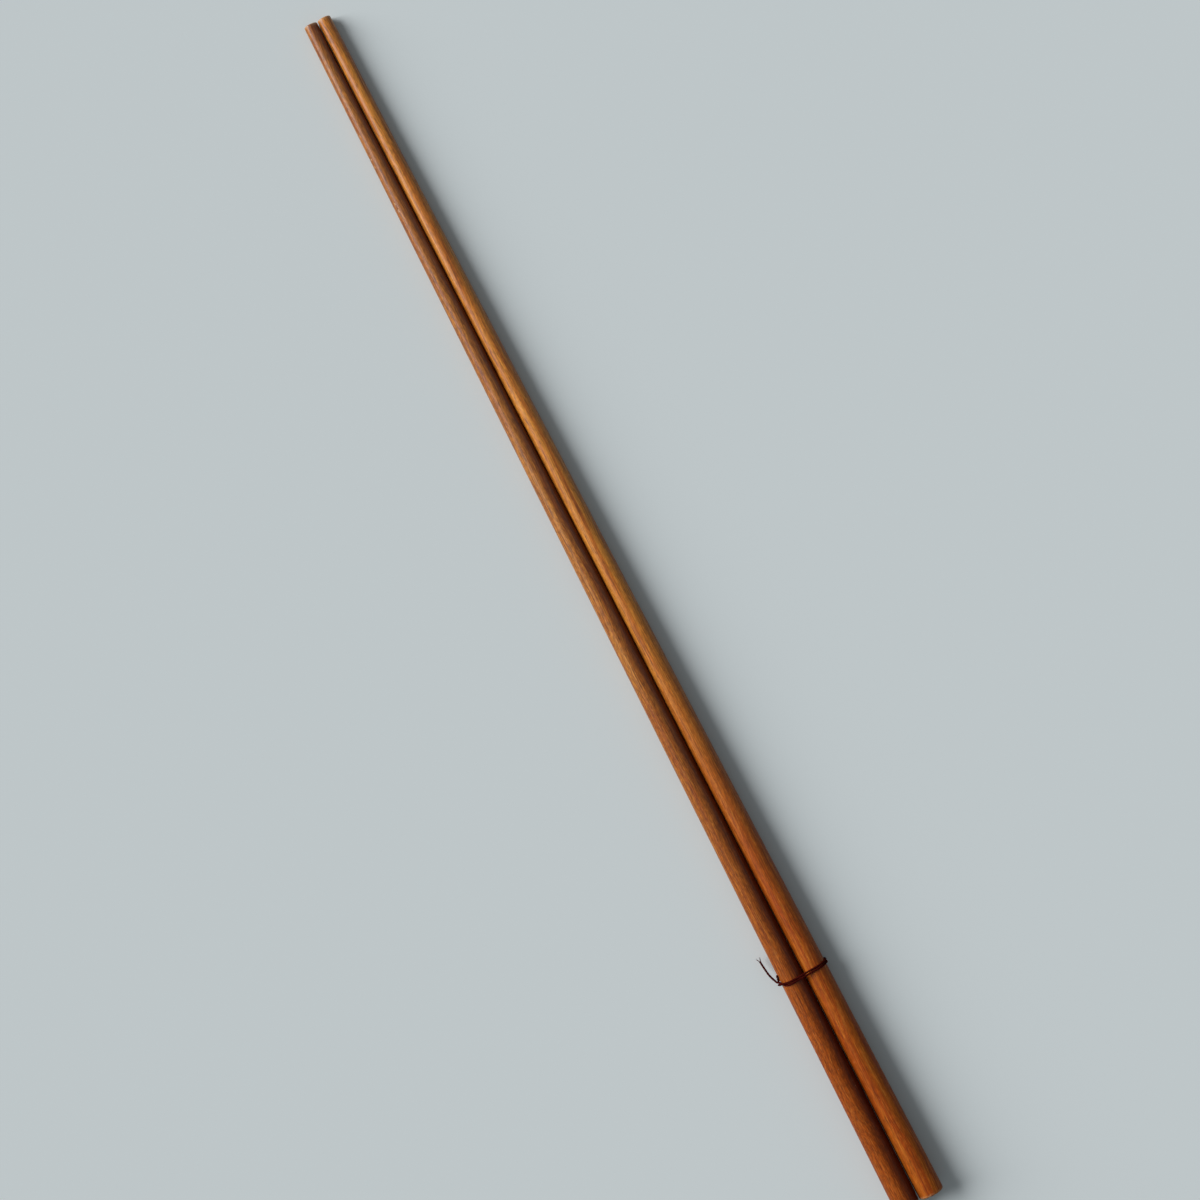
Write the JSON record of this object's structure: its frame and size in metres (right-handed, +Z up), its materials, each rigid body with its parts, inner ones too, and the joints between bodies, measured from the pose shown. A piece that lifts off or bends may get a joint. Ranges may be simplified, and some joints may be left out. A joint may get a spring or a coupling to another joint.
{
  "type": "pair of cooking chopsticks",
  "caption": "Long tapered wooden cooking chopsticks lying side by side, tied together near their thick ends with a thin cord wound twice round both",
  "frame": {"origin": "on the surface that the pair lies on, under the middle of its length, between the two sticks", "axes": "+Y towards the tips, +X to the right stick as seen from above with the tips away from the viewer, +Z up"},
  "size_m": [0.0197, 0.42, 0.0094],
  "materials": {
    "wood": "reddish-brown stained hardwood with a thin satin lacquer, fine lengthwise grain, paler towards the tips",
    "cord": "dark maroon two-ply twisted cotton string, slightly fuzzy"
  },
  "bodies": {
    "root": {"chopstick_left": "wood", "chopstick_right": "wood", "tie_cord": "cord"}
  },
  "joints": []
}
